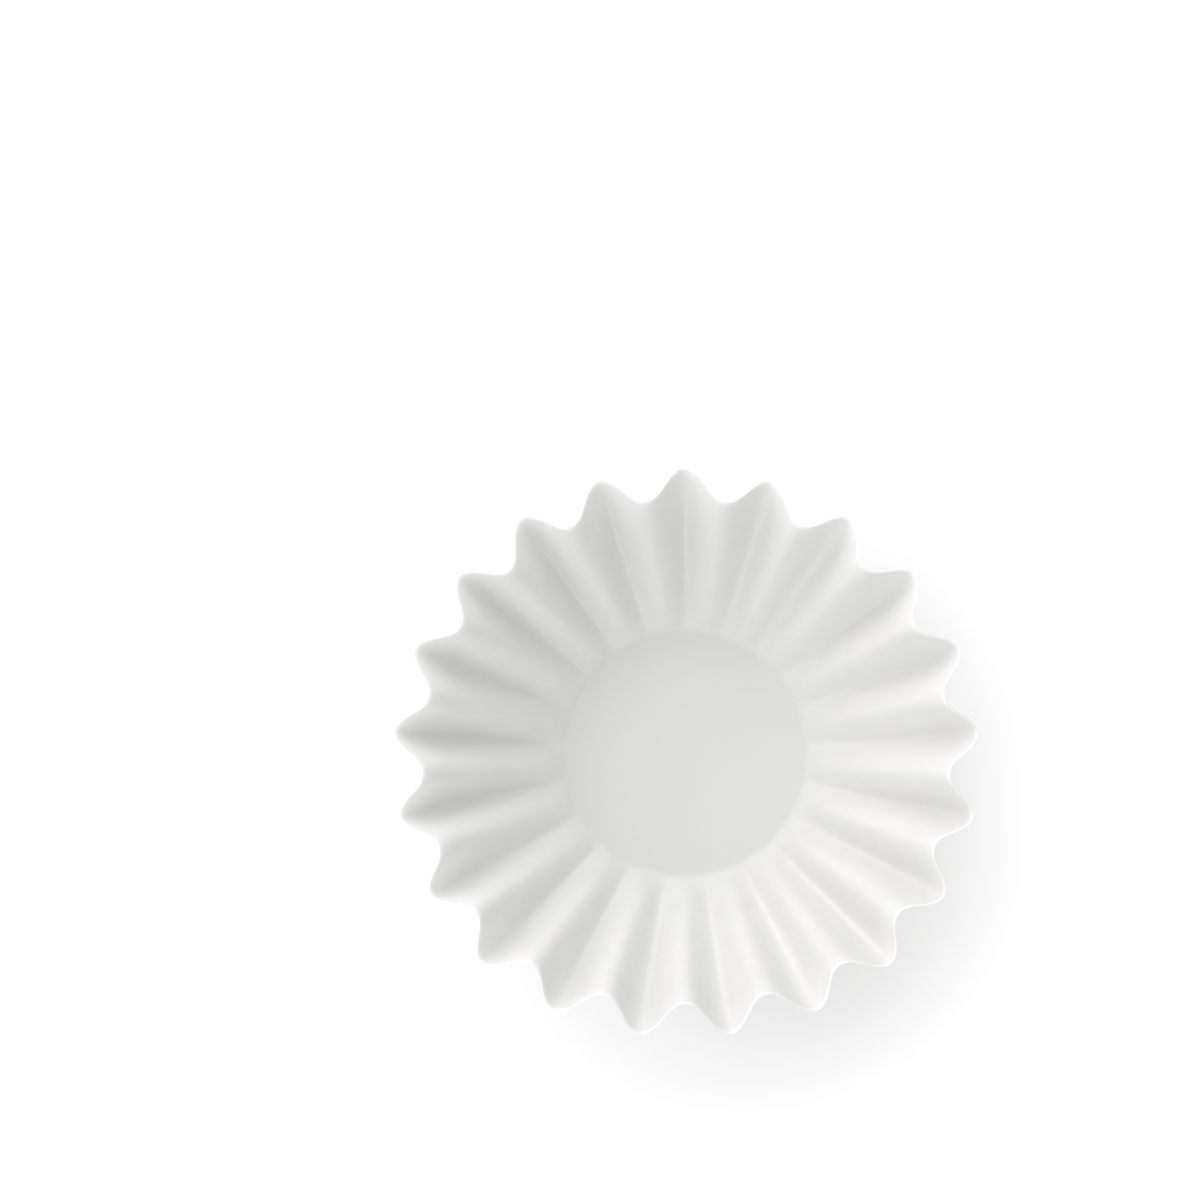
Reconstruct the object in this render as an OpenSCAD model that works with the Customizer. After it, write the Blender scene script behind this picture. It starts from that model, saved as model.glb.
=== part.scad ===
// Paper coffee filter with a flat base: one round sheet of paper, pressed into an open cup whose wall
// is a ring of folded flutes. It stands on its base. The origin is the middle of the base's underside,
// +Z is up and -Y is the front. All sizes are in millimetres and degrees.

/* [Sheet] */
// Diameter of the flat round sheet, before it is pressed
sheet_d = 210; // [190:1:240]
// Thickness of the paper
paper_t = 0.2; // [0.15:0.05:0.5]

/* [Base] */
// Diameter of the base, out to where the wall starts
base_d = 83; // [60:1:95]
// Radius of the soft bend between the base and the wall
bend_r = 2; // [1:0.5:4]

/* [Wall] */
// Lean of the wall up from the table, halfway between a crest and a trough
wall_lean = 51; // [45:1:60]
// How much wider the relaxed mouth is from side to side than from front to back
mouth_oval = 6; // [0:0.5:10]

/* [Rim] */
// Length of the wall's last stretch, which curls outwards
flare_len = 3; // [2:0.5:5]
// Angle by which that stretch has turned outwards at the rim
rim_flare = 20; // [5:1:30]

/* [Flutes] */
// Number of flutes round the wall
flutes = 21; // [16:1:25]
// Angle by which a crest leans further out at the rim than the wall, and a trough further in
flute_swing = 6.4; // [2:0.2:7]
// How the flutes fade from the rim to the base: 1 is evenly, and less keeps them deep for longer
flute_fade = 0.7; // [0.6:0.05:1]
// How round the folded crests are on the wall: 0.1 is a sharp fold, and 1 is close to a plain wave
crest_round = 0.15; // [0.1:0.05:1]
// How round the crests have opened at the rim
rim_crest_round = 0.8; // [0.3:0.05:1]

/* [Hidden] */

paper_colour = "#EEECE9";

// The sheet outside the base becomes the wall, so this is the length of every line up the wall
slope_len = (sheet_d - base_d) / 2;
straight_len = slope_len - flare_len;
base_r = base_d / 2;
rim_h = slope_len * sin(wall_lean);
flare_r = flare_len * 180 / (PI * rim_flare);

// Depth inside the base's edge at which the flutes would close up
fade_start = 3;

// Columns of points run up the wall, and rings of points run round it
columns_per_flute = 12;
columns = flutes * columns_per_flute;
bend_rings = 2;
wall_rings = 5;
flare_rings = 2;
last_straight_ring = bend_rings + wall_rings;
last_ring = last_straight_ring + flare_rings;

// Angle by which the columns crowd to the crests and troughs, where the paper curves most
crowding = 12;

// Power by which the wall's rings crowd towards the base, where the flutes change fastest
ring_crowding = 1.4;

// Place of a column along the wave of flutes, with a crest at every full turn
function wave(column) =
    let (even = 360 * column / columns_per_flute)
    even - crowding * sin(2 * even);

// Direction of a column from the middle of the filter, with the first crest at the back
function heading(column) = 90 + wave(column) / flutes;

// A wave from 1 at a crest to -1 at a trough, whose crests are folds of a given roundness
function fluted(column, roundness) =
    let (from_crest = norm([sin(wave(column) / 2), roundness]) - roundness)
    1 - 2 * from_crest / (norm([1, roundness]) - roundness);

// A flute is a swing of the wall about the base's edge: the lines up the wall keep their length, so a
// crest reaches further out and ends lower than the trough beside it. This is the angle at which a point
// of the wall is seen from the base's edge, at a distance along the slope.
function lean(column, along) =
    let (
        deepening = pow((along + fade_start) / (slope_len + fade_start), flute_fade - 1),
        opening = (rim_crest_round - crest_round) * pow(along / slope_len, 6)
    )
    wall_lean - flute_swing * deepening * fluted(column, crest_round + opening);

// Reach and height of the sheet's underside at a ring: an arc off the base, the wall's slope, and an
// arc outwards to the rim
function section(column, ring) =
    ring <= bend_rings ? bend_section(lean(column, bend_r * tan(wall_lean / 2)), ring)
    : ring <= last_straight_ring ? wall_section(column, ring - bend_rings)
    : flare_section(column, ring - last_straight_ring);

function bend_section(foot, step) =
    let (turn = foot * step / bend_rings)
    [base_r - bend_r * (tan(foot / 2) - sin(turn)), bend_r * (1 - cos(turn))];

function wall_section(column, step) =
    let (
        foot = lean(column, bend_r * tan(wall_lean / 2)),
        toe = bend_r * tan(foot / 2),
        along = toe + (straight_len - toe) * pow(step / wall_rings, ring_crowding),
        slope = lean(column, along)
    )
    [base_r + along * cos(slope), along * sin(slope)];

function flare_section(column, step) =
    let (
        start = lean(column, straight_len),
        slant = start + straight_len * (start - lean(column, straight_len - 0.1)) / 0.1,
        turned = slant - rim_flare * step / flare_rings
    )
    [
        base_r + straight_len * cos(start) + flare_r * (sin(slant) - sin(turned)),
        straight_len * sin(start) + flare_r * (cos(turned) - cos(slant))
    ];

// Point of the underside, eased out at the sides and in at front and back towards the mouth
function under_point(column, ring) =
    let (
        at = section(column, ring),
        ease = mouth_oval / 4 * at[1] / rim_h
    )
    [(at[0] + ease) * cos(heading(column)), (at[0] - ease) * sin(heading(column)), at[1]];

// Direction square to the sheet at a point, towards the inside of the cup
function inward(column, ring) =
    let (
        round_it = under_point(column + 1, ring) - under_point(column - 1, ring),
        up_it = under_point(column, min(ring + 1, last_ring)) - under_point(column, max(ring - 1, 0)),
        square_to = cross(up_it, round_it)
    )
    ring == 0 ? [0, 0, 1] : square_to / norm(square_to);

function inside_point(column, ring) = under_point(column, ring) + paper_t * inward(column, ring);

// Place in the list of points of a column and ring on one face of the sheet: 0 is under, 1 is inside
function point_at(side, ring, column) = (side * (last_ring + 1) + ring) * columns + column % columns;

// Two triangles that fill the patch between corners a, b, c and d, which run clockwise from outside
function patch(a, b, c, d) = [[a, b, c], [a, c, d]];

// The one sheet: two faces a paper's thickness apart, joined at the rim and closed in the middle
module filter() {
    under_points = [for (ring = [0:last_ring], column = [0:columns - 1]) under_point(column, ring)];
    inside_points = [for (ring = [0:last_ring], column = [0:columns - 1]) inside_point(column, ring)];
    middles = [[0, 0, 0], [0, 0, paper_t]];
    under_middle = 2 * columns * (last_ring + 1);
    inside_middle = under_middle + 1;

    wall_faces = [
        for (ring = [0:last_ring - 1], column = [0:columns - 1])
            each concat(
                patch(
                    point_at(0, ring, column), point_at(0, ring + 1, column),
                    point_at(0, ring + 1, column + 1), point_at(0, ring, column + 1)
                ),
                patch(
                    point_at(1, ring, column), point_at(1, ring, column + 1),
                    point_at(1, ring + 1, column + 1), point_at(1, ring + 1, column)
                )
            )
    ];
    base_faces = [
        for (column = [0:columns - 1])
            each [
                [under_middle, point_at(0, 0, column), point_at(0, 0, column + 1)],
                [inside_middle, point_at(1, 0, column + 1), point_at(1, 0, column)]
            ]
    ];
    rim_faces = [
        for (column = [0:columns - 1])
            each patch(
                point_at(0, last_ring, column), point_at(1, last_ring, column),
                point_at(1, last_ring, column + 1), point_at(0, last_ring, column + 1)
            )
    ];

    color(paper_colour)
        polyhedron(
            points = concat(under_points, inside_points, middles),
            faces = concat(wall_faces, base_faces, rim_faces)
        );
}

filter();
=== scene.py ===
"""A basket coffee filter: one round sheet of white filter paper, pressed into an open cup with a wall of
folded flutes. It stands on its base on a white table and is seen from straight above."""

import math

import bmesh
import bpy
import numpy as np
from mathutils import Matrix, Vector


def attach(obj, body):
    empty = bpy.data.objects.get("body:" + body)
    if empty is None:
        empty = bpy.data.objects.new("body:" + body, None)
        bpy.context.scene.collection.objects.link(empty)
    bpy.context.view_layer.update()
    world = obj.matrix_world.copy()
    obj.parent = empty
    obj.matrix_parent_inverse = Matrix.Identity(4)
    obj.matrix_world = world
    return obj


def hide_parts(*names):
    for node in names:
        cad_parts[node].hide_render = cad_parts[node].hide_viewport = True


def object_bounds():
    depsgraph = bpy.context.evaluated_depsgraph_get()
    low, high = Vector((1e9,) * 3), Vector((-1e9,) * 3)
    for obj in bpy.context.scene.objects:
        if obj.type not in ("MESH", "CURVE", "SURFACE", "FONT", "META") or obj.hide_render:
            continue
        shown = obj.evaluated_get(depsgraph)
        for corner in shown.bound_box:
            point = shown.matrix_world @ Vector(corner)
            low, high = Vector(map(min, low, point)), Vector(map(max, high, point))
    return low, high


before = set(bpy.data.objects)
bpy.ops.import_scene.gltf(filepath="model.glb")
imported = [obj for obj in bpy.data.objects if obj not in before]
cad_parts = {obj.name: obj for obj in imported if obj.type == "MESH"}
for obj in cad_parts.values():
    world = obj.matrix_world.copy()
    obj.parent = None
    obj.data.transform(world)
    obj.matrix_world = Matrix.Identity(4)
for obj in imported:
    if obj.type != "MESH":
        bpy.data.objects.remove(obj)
cad_low, cad_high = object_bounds()
scene = bpy.context.scene
scene.view_settings.view_transform = "Standard"


# The sheet. It is cut as a flat disc and pressed between fluted dies, which draw its outer ring up into
# a wall. Paper hardly stretches, so each line up the wall keeps its length and a flute is a swing of the
# wall about the base's edge. Out of the die the cup relaxes: its mouth goes oval and no flute is even.

MM = 0.001
SHEET_DIAMETER = 210 * MM
BASE_DIAMETER = 83 * MM
PAPER_THICKNESS = 0.2 * MM
BEND_RADIUS = 2 * MM
WALL_LEAN = math.radians(51)
# How much wider the relaxed mouth is from side to side than from front to back
MOUTH_OVAL = 6 * MM
FLUTES = 21
# Angle by which a crest leans further out at the rim and a trough further in, and how the flutes fade
# from there towards the base: 1 is evenly, and less keeps them deep for longer. They would close up at
# this depth inside the base's edge.
FLUTE_SWING = math.radians(6.4)
FLUTE_FADE = 0.7
FADE_START = 3 * MM
# How round the crests are: 0 is a sharp fold, and 1 is close to a plain wave. They open towards the rim,
# where crests and troughs alike also roll over a little more broadly, by this share of the swing. The
# higher the power, the closer to the rim they open.
CREST_ROUNDNESS = 0.22
RIM_ROUNDNESS = 0.8
RIM_ROLL = 0.035
OPENING_POWER = 6
# The last of the wall curls outwards
FLARE_LENGTH = 3 * MM
RIM_FLARE = math.radians(20)

slope_length = (SHEET_DIAMETER - BASE_DIAMETER) / 2
straight_length = slope_length - FLARE_LENGTH
base_radius = BASE_DIAMETER / 2
rim_height = slope_length * math.sin(WALL_LEAN)

# How the relaxed wall leans in and out again as it goes round, and how its flutes drift to one side. Each
# line is a number of waves round the mouth, their angle, and a direction in which they lean out or drift
# the most.
RELAXED_LEANS = [
    (1, math.radians(1.0), math.radians(-25)),
    (3, math.radians(0.8), math.radians(90)),
    (4, math.radians(0.4), math.radians(45)),
    (5, math.radians(0.6), math.radians(25)),
]
RELAXED_DRIFTS = [
    (1, math.radians(0.35), math.radians(-35)),
    (2, math.radians(0.2), math.radians(-45)),
    (3, math.radians(0.35), math.radians(-55)),
    (4, math.radians(0.2), math.radians(25)),
]
# Where the mouth is drawn in, at front and back, the same paper gathers into deeper flutes
GATHER_SHARE = 0.03
# Share of its roundness by which one fold is rounder or crisper than its neighbours
FOLD_SPREAD = 0.5
FOLD_SEED = 29
# Share of the swing by which single flutes differ from their neighbours, all the way up and halfway up the
# wall, and the angle by which they bow to one side there
SWING_SPREAD = 0.05
SWING_SEED = 3
MIDWAY_SPREAD = 0.1
MIDWAY_SEED = 5
MIDWAY_BOW = math.radians(0.4)
BOW_SEED = 7

# Painted light lies on a strip along each crest, where the valley inside is shaded, out to this angle along
# the wave of flutes, and at full strength from this share of the way up the wall
CREST_LIGHT_WIDTH = math.radians(50)
CREST_LIGHT_START = 0.5

# The mesh: its columns of points run up the wall and crowd to the crests, and its rings run round it, the
# first a little inside the bend
COLUMNS_PER_FLUTE = 44
CREST_CROWDING = 0.5
BEND_RINGS = 8
WALL_RINGS = 30
FLARE_RINGS = 6
BASE_MARGIN = 1.5 * MM


def uneven(turns, seed):
    """A smooth line round the filter, from about -1 to 1: random at each flute, and eased to the next."""
    values = np.random.default_rng(seed).uniform(-1, 1, FLUTES)
    values -= values.mean()
    here = np.floor(turns * FLUTES).astype(int)
    ease = (1 - np.cos(np.pi * (turns * FLUTES - here))) / 2
    return values[here % FLUTES] * (1 - ease) + values[(here + 1) % FLUTES] * ease


def slow_waves(direction, waves):
    return sum(size * np.cos(count * (direction - first)) for count, size, first in waves)


def fluted(wave, roundness):
    """A wave from 1 at a crest to -1 at a trough, whose crests are folds of a given roundness."""
    from_crest = np.sqrt(np.sin(wave / 2) ** 2 + roundness**2) - roundness
    return 1 - 2 * from_crest / (np.sqrt(1 + roundness**2) - roundness)


# Each column's place along the wave of flutes, with a crest at every full turn and the first one at the
# back, then its heading from the middle of the filter, and the wall's lean, swing and fold there
columns = FLUTES * COLUMNS_PER_FLUTE
step_round = 2 * np.pi * np.arange(columns) / COLUMNS_PER_FLUTE
wave = step_round - CREST_CROWDING * np.sin(step_round)
turns = wave / (2 * np.pi * FLUTES)
even_heading = np.pi / 2 + 2 * np.pi * turns
heading = even_heading + slow_waves(even_heading, RELAXED_DRIFTS)
middle_lean = WALL_LEAN - slow_waves(even_heading, RELAXED_LEANS)
gathered = 1 - GATHER_SHARE * np.cos(2 * heading)
swing = FLUTE_SWING * (gathered + SWING_SPREAD * uneven(turns, SWING_SEED))
fold_roundness = CREST_ROUNDNESS * (1 + FOLD_SPREAD * uneven(turns, FOLD_SEED))


def lean(along):
    """Angle at which each column's wall is seen from the base's edge, at a distance along the slope."""
    fade = ((along + FADE_START) / (slope_length + FADE_START)) ** (FLUTE_FADE - 1)
    opened = (along / slope_length) ** OPENING_POWER
    flutes = fluted(wave, fold_roundness + (RIM_ROUNDNESS - fold_roundness) * opened)
    rolled = RIM_ROLL * opened * (np.cos(wave) - np.cos(3 * wave))
    deeper = 1 + MIDWAY_SPREAD * uneven(turns, MIDWAY_SEED) * np.sin(np.pi * along / slope_length)
    return middle_lean - swing * deeper * fade * (flutes + rolled)


# The three stretches of the sheet outside the flat base. Each gives, ring by ring, how far the points lie
# from the middle, their height, and how far from the middle they lay in the flat disc.


def bend_section(foot, toe):
    """The base's edge and the arc off it, up to the foot of the wall."""
    start = base_radius - toe
    yield start - BASE_MARGIN, np.zeros(columns), start - BASE_MARGIN
    for step in range(BEND_RINGS + 1):
        turn = foot * step / BEND_RINGS
        reach = start + BEND_RADIUS * np.sin(turn)
        yield reach, BEND_RADIUS * (1 - np.cos(turn)), start + BEND_RADIUS * turn


def wall_section(toe):
    """The slope of the wall."""
    for step in range(1, WALL_RINGS + 1):
        along = toe + (straight_length - toe) * step / WALL_RINGS
        at = lean(along)
        yield base_radius + along * np.cos(at), along * np.sin(at), base_radius + along


def flare_section():
    """The arc outwards to the rim, which goes on from the slant of the wall under it."""
    a_little = 0.1 * MM
    start = lean(straight_length)
    slant = start + straight_length * (start - lean(straight_length - a_little)) / a_little
    flare_radius = FLARE_LENGTH / RIM_FLARE
    for step in range(1, FLARE_RINGS + 1):
        turned = slant - RIM_FLARE * step / FLARE_RINGS
        out = straight_length * np.cos(start) + flare_radius * (np.sin(slant) - np.sin(turned))
        up = straight_length * np.sin(start) + flare_radius * (np.cos(turned) - np.cos(slant))
        flat_radius = base_radius + straight_length + FLARE_LENGTH * step / FLARE_RINGS
        yield base_radius + out, up, np.full(columns, flat_radius)


def sheet_points():
    """Points of the sheet's underside by ring and column, where each lay in the flat disc, and the painted
    light on its crests.
    """
    foot = lean(BEND_RADIUS * np.tan(WALL_LEAN / 2))
    toe = BEND_RADIUS * np.tan(foot / 2)
    flat_heading = np.stack([np.cos(heading), np.sin(heading), np.zeros(columns)], axis=1)
    # The strip of painted light along each crest
    crest_light_strip = np.exp(-((2 * np.sin(wave / 2) / CREST_LIGHT_WIDTH) ** 2))
    under, flat, folds = [], [], []
    for reach, height, flat_radius in [*bend_section(foot, toe), *wall_section(toe), *flare_section()]:
        up_wall = np.clip((flat_radius - base_radius) / straight_length, 0, 1)
        bowed = heading + MIDWAY_BOW * uneven(turns, BOW_SEED) * np.sin(np.pi * up_wall)
        # Each side moves out by a quarter of the oval's difference, and the front and the back move in
        ease = MOUTH_OVAL / 4 * height / rim_height
        x, y = (reach + ease) * np.cos(bowed), (reach - ease) * np.sin(bowed)
        under.append(np.stack([x, y, height], axis=1))
        flat.append(flat_heading * flat_radius[:, None])
        # Strength of the painted light on each crest, growing from the base's edge up to full strength
        # partway up the wall
        folds.append(crest_light_strip * np.clip(up_wall / CREST_LIGHT_START, 0, 1))
    return np.array(under), np.array(flat), np.array(folds)


def inside_of(under):
    """The sheet's other face, a paper's thickness away, on the cup's inside."""
    round_it = np.roll(under, -1, axis=1) - np.roll(under, 1, axis=1)
    up_it = np.gradient(under, axis=0)
    square_to = np.cross(up_it, round_it)
    square_to /= np.linalg.norm(square_to, axis=2, keepdims=True)
    square_to[:2] = (0, 0, 1)
    return under + PAPER_THICKNESS * square_to


def sheet_mesh(name):
    """The two faces of the sheet, closed over the base and joined by the cut edge at the rim."""
    under, flat, folds = sheet_points()
    sheet = bmesh.new()
    flat_place = sheet.verts.layers.float_vector.new("flat_sheet")
    painted_crest_light = sheet.verts.layers.float.new("painted_crest_light")
    sides = []
    for points in (under, inside_of(under)):
        grid = []
        for ring_points, ring_flat, ring_folds in zip(points, flat, folds):
            row = [sheet.verts.new(point) for point in ring_points]
            for vert, place, fold in zip(row, ring_flat, ring_folds):
                vert[flat_place] = place
                vert[painted_crest_light] = fold
            grid.append(row)
        sides.append(grid)
    outer, inner = sides
    for ring in range(len(under) - 1):
        for here in range(columns):
            there = (here + 1) % columns
            a, b, c, d = outer[ring][here], outer[ring + 1][here], outer[ring + 1][there], outer[ring][there]
            sheet.faces.new((a, b, c, d))
            a, b, c, d = inner[ring][here], inner[ring][there], inner[ring + 1][there], inner[ring + 1][here]
            sheet.faces.new((a, b, c, d))
    sheet.faces.new(outer[0])
    sheet.faces.new(inner[0][::-1])
    for face in sheet.faces:
        face.smooth = True
    for here in range(columns):
        there = (here + 1) % columns
        cut = sheet.faces.new((outer[-1][here], inner[-1][here], inner[-1][there], outer[-1][there]))
        for edge in cut.edges:
            edge.smooth = False
    bmesh.ops.recalc_face_normals(sheet, faces=sheet.faces)
    mesh = bpy.data.meshes.new(name)
    sheet.to_mesh(mesh)
    sheet.free()
    return mesh


paper_cup = bpy.data.objects.new("pressed_sheet", sheet_mesh("pressed_sheet"))
scene.collection.objects.link(paper_cup)


def linear(hex_colour):
    """An sRGB hex colour as a linear colour."""
    parts = [int(hex_colour[i : i + 2], 16) / 255 for i in (1, 3, 5)]
    return tuple(c / 12.92 if c <= 0.04045 else ((c + 0.055) / 1.055) ** 2.4 for c in parts) + (1.0,)


def add_node(tree, kind, settings=None, inputs=None):
    """Adds a node, sets its properties, and sets or links its inputs."""
    node = tree.nodes.new(kind)
    for name, value in (settings or {}).items():
        setattr(node, name, value)
    for name, value in (inputs or {}).items():
        if isinstance(value, bpy.types.NodeSocket):
            tree.links.new(value, node.inputs[name])
        else:
            node.inputs[name].default_value = value
    return node


# Bleached filter paper, creped and uncoated: wood fibres felted into a soft white sheet. It has no shine,
# its thicker clouds of fibre look a little whiter, and its crepe breaks up the light. The base is painted a
# little grey, as painted shade in the bottom of the cup. Painted light whitens the paper along the crests
# and towards the rim, where light would come through it, with a painted highlight at the cut edge.
PAPER_WHITE = "#EFEFEC"
PAPER_THIN = "#E9E9E6"
# Painted shade: the grey of the base at the bottom of the cup
BASE_SHADE_GREY = "#E5E6E1"
# White of the painted light: a painted highlight at the cut edge, mixed more thinly towards the rim and
# along the crests
PAINTED_LIGHT_WHITE = "#FDFDFC"
CLOUD_SIZE = 6 * MM
# Spacing of the real crepe, which is too fine to show, and how many times as coarse it is drawn
CREPE_SPACING = 0.4 * MM
CREPE_COARSER = 2
CREPE_HEIGHT = 0.06 * MM
CREPE_STRENGTH = 0.3
# How far inside the base's edge the painted shade starts to fade, and over what width
BASE_SHADE_INSIDE = 1.3 * MM
BASE_SHADE_BLEND = 3.5 * MM
# Widths of the painted highlight at the cut edge and of the band of painted light towards the rim
CUT_HIGHLIGHT_WIDTH = 0.6 * MM
RIM_LIGHT_WIDTH = 8 * MM
# Shares of the painted highlight's white in the painted light on the band towards the rim and on the strips
# along the crests
RIM_LIGHT_SHARE = 0.3
CREST_LIGHT_SHARE = 0.2

# Places of the two colours and the result among the sockets of a node that mixes colours
FIRST_COLOUR = 6
SECOND_COLOUR = 7
MIXED = 2

paper = bpy.data.materials.new("bleached_filter_paper_creped")
paper.use_nodes = True
tree = paper.node_tree
tree.nodes.clear()
place = add_node(tree, "ShaderNodeAttribute", {"attribute_name": "flat_sheet"}).outputs["Vector"]
clouds = add_node(
    tree,
    "ShaderNodeTexNoise",
    None,
    {"Vector": place, "Scale": 1 / CLOUD_SIZE, "Detail": 4.0, "Roughness": 0.6},
)
felted = add_node(
    tree,
    "ShaderNodeMix",
    {"data_type": "RGBA"},
    {
        "Factor": clouds.outputs["Fac"],
        FIRST_COLOUR: linear(PAPER_THIN),
        SECOND_COLOUR: linear(PAPER_WHITE),
    },
)
from_middle = add_node(tree, "ShaderNodeVectorMath", {"operation": "LENGTH"}, {0: place}).outputs["Value"]
# Painted shade over the base, fading out just past its edge
pressed = add_node(
    tree,
    "ShaderNodeMapRange",
    {"interpolation_type": "SMOOTHSTEP"},
    {
        "Value": from_middle,
        "From Min": base_radius - BASE_SHADE_INSIDE,
        "From Max": base_radius - BASE_SHADE_INSIDE + BASE_SHADE_BLEND,
        "To Min": 1.0,
        "To Max": 0.0,
    },
)
with_base_shade = add_node(
    tree,
    "ShaderNodeMix",
    {"data_type": "RGBA"},
    {
        "Factor": pressed.outputs["Result"],
        FIRST_COLOUR: felted.outputs[MIXED],
        SECOND_COLOUR: linear(BASE_SHADE_GREY),
    },
)
# Painted light rising towards the rim, in place of the light that would come through the paper there
rim_light_band = add_node(
    tree,
    "ShaderNodeMapRange",
    None,
    {
        "Value": from_middle,
        "From Min": SHEET_DIAMETER / 2 - RIM_LIGHT_WIDTH,
        "From Max": SHEET_DIAMETER / 2,
        "To Min": 0.0,
        "To Max": RIM_LIGHT_SHARE,
    },
)
# A painted highlight along the cut edge
cut = add_node(
    tree,
    "ShaderNodeMapRange",
    {"interpolation_type": "SMOOTHSTEP"},
    {
        "Value": from_middle,
        "From Min": SHEET_DIAMETER / 2 - 2 * CUT_HIGHLIGHT_WIDTH,
        "From Max": SHEET_DIAMETER / 2 - CUT_HIGHLIGHT_WIDTH,
        "To Min": 0.0,
        "To Max": 1.0,
    },
)
# Painted light along the crests, in place of light through the paper into their shaded valleys
crest = add_node(tree, "ShaderNodeAttribute", {"attribute_name": "painted_crest_light"}).outputs["Fac"]
opened = add_node(tree, "ShaderNodeMath", {"operation": "MULTIPLY"}, {0: crest, 1: CREST_LIGHT_SHARE})
rim_and_cut_light = add_node(
    tree, "ShaderNodeMath", {"operation": "MAXIMUM"}, {0: rim_light_band.outputs["Result"], 1: cut.outputs["Result"]}
)
painted_light_share = add_node(
    tree, "ShaderNodeMath", {"operation": "MAXIMUM"}, {0: rim_and_cut_light.outputs[0], 1: opened.outputs[0]}
)
# The paper's colour mixed towards white by the painted light and highlight
with_painted_light = add_node(
    tree,
    "ShaderNodeMix",
    {"data_type": "RGBA"},
    {
        "Factor": painted_light_share.outputs[0],
        FIRST_COLOUR: with_base_shade.outputs[MIXED],
        SECOND_COLOUR: linear(PAINTED_LIGHT_WHITE),
    },
)
crepe = add_node(
    tree,
    "ShaderNodeTexNoise",
    None,
    {"Vector": place, "Scale": 1 / (CREPE_SPACING * CREPE_COARSER), "Detail": 3.0, "Roughness": 0.7},
)
creped = add_node(
    tree,
    "ShaderNodeBump",
    None,
    {"Height": crepe.outputs["Fac"], "Strength": CREPE_STRENGTH, "Distance": CREPE_HEIGHT},
)
surface = add_node(
    tree,
    "ShaderNodeBsdfPrincipled",
    None,
    {
        "Base Color": with_painted_light.outputs[MIXED],
        "Roughness": 0.9,
        "IOR": 1.5,
        "Specular IOR Level": 0.2,
        "Normal": creped.outputs["Normal"],
    },
)
add_node(tree, "ShaderNodeOutputMaterial", None, {"Surface": surface.outputs["BSDF"]})
paper_cup.data.materials.append(paper)

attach(paper_cup, "root")
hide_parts("filter")


# The table: a plain matt white laminate that runs out of the picture. It keeps the filter's soft shadow
# and shows a little whiter than it is lit, more so away from the filter, so that it runs out to pure white.
TABLE_SIZE = 6.0
TABLE_WHITE = "#F4F4F4"
LIFT_NEAR = 0.17
LIFT_FAR = 0.46
LIFT_NEAR_RADIUS = 90 * MM
LIFT_FAR_RADIUS = 330 * MM

table_mesh = bpy.data.meshes.new("table")
half = TABLE_SIZE / 2
table_mesh.from_pydata(
    [(-half, -half, 0), (half, -half, 0), (half, half, 0), (-half, half, 0)], [], [(0, 1, 2, 3)]
)
table = bpy.data.objects.new("table", table_mesh)
table.location.z = cad_low.z
scene.collection.objects.link(table)


def seen_directly(tree):
    """1 for the rays by which a white background is seen, also in or through a piece, and 0 for light."""
    path = add_node(tree, "ShaderNodeLightPath")
    seen = path.outputs["Is Camera Ray"]
    for ray in ("Is Glossy Ray", "Is Transmission Ray"):
        either = add_node(tree, "ShaderNodeMath", {"operation": "MAXIMUM"}, {0: seen, 1: path.outputs[ray]})
        seen = either.outputs[0]
    return seen


# A matt melamine laminate is an even white with no shine to speak of
laminate = bpy.data.materials.new("matt_white_laminate")
laminate.use_nodes = True
tree = laminate.node_tree
tree.nodes.clear()
place = add_node(tree, "ShaderNodeNewGeometry").outputs["Position"]
from_filter = add_node(tree, "ShaderNodeVectorMath", {"operation": "LENGTH"}, {0: place}).outputs["Value"]
lift = add_node(
    tree,
    "ShaderNodeMapRange",
    None,
    {
        "Value": from_filter,
        "From Min": LIFT_NEAR_RADIUS,
        "From Max": LIFT_FAR_RADIUS,
        "To Min": LIFT_NEAR,
        "To Max": LIFT_FAR,
    },
)
seen_lift = add_node(
    tree, "ShaderNodeMath", {"operation": "MULTIPLY"}, {0: seen_directly(tree), 1: lift.outputs["Result"]}
)
surface = add_node(
    tree,
    "ShaderNodeBsdfPrincipled",
    None,
    {
        "Base Color": linear(TABLE_WHITE),
        "Roughness": 0.9,
        "Specular IOR Level": 0.0,
        "Emission Color": (1.0, 1.0, 1.0, 1.0),
        "Emission Strength": seen_lift.outputs[0],
    },
)
add_node(tree, "ShaderNodeOutputMaterial", None, {"Surface": surface.outputs["BSDF"]})
table.data.materials.append(laminate)


# Light: an even white room, which shows as pure white behind the table, one broad soft box on the left, and
# a weaker one at the back and the front. The left one is a little cooler than the room.
ROOM_STRENGTH = 0.604
BOX_DISTANCE = 1.2
# Name, direction counterclockwise from the right, angle above the table, width in metres, power in watts
# and colour
SOFT_BOXES = [
    ("left_soft_box", math.radians(140), math.radians(40), 1.3, 6.25, "#FAF7FF"),
    ("back_soft_box", math.radians(90), math.radians(35), 1.0, 3.5, "#FFFFFF"),
    ("front_soft_box", math.radians(-110), math.radians(35), 1.0, 3.25, "#FFFFFF"),
]

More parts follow.
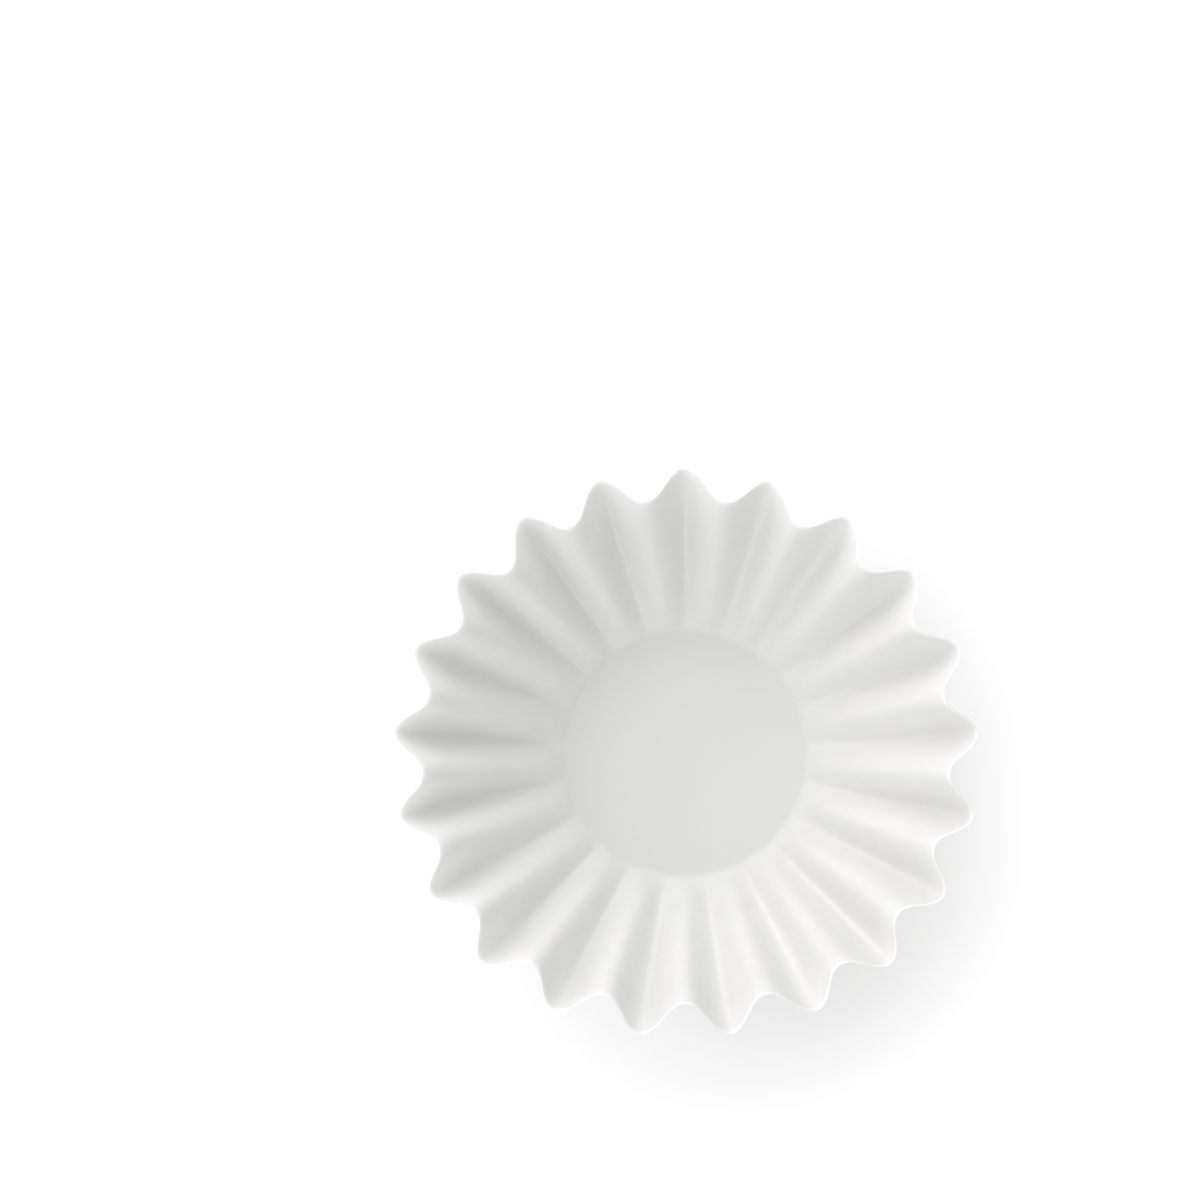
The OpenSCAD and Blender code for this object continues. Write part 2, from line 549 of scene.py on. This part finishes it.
world = bpy.data.worlds.new("white_room")
world.use_nodes = True
tree = world.node_tree
tree.nodes.clear()
strength = add_node(
    tree,
    "ShaderNodeMapRange",
    None,
    {"Value": seen_directly(tree), "From Min": 0.0, "From Max": 1.0, "To Min": ROOM_STRENGTH, "To Max": 1.0},
)
room = add_node(
    tree,
    "ShaderNodeBackground",
    None,
    {"Color": (1.0, 1.0, 1.0, 1.0), "Strength": strength.outputs["Result"]},
)
add_node(tree, "ShaderNodeOutputWorld", None, {"Surface": room.outputs["Background"]})
scene.world = world

for name, direction, angle_up, width, power, colour in SOFT_BOXES:
    light = bpy.data.lights.new(name, "AREA")
    light.size = width
    light.energy = power
    light.color = linear(colour)[:3]
    soft_box = bpy.data.objects.new(name, light)
    out = math.cos(angle_up)
    towards = (out * math.cos(direction), out * math.sin(direction), math.sin(angle_up))
    soft_box.location = [BOX_DISTANCE * part for part in towards]
    soft_box.rotation_mode = "QUATERNION"
    soft_box.rotation_quaternion = soft_box.location.to_track_quat("Z", "Y")
    scene.collection.objects.link(soft_box)


# Camera: straight above the base's middle and square to the table, with the top of the picture towards
# the back. The lens is shifted, because the filter lies right of the picture's middle and below it.
IMAGE_PIXELS = 1200
CENTRE_PIXEL = (685.1, 754.1)
CAMERA_HEIGHT = 390 * MM
FOCAL_PIXELS = 1150
# Width of a full-frame sensor, in the millimetres that Blender takes for it and for the lens
SENSOR_WIDTH = 36.0

camera_data = bpy.data.cameras.new("camera")
camera_data.sensor_width = SENSOR_WIDTH
camera_data.lens = FOCAL_PIXELS / IMAGE_PIXELS * SENSOR_WIDTH
camera_data.shift_x = (IMAGE_PIXELS / 2 - CENTRE_PIXEL[0]) / IMAGE_PIXELS
camera_data.shift_y = (CENTRE_PIXEL[1] - IMAGE_PIXELS / 2) / IMAGE_PIXELS
camera_data.clip_start = 10 * MM
camera_data.clip_end = 20.0
camera = bpy.data.objects.new("camera", camera_data)
camera.location = (0, 0, cad_low.z + CAMERA_HEIGHT)
scene.collection.objects.link(camera)
scene.camera = camera
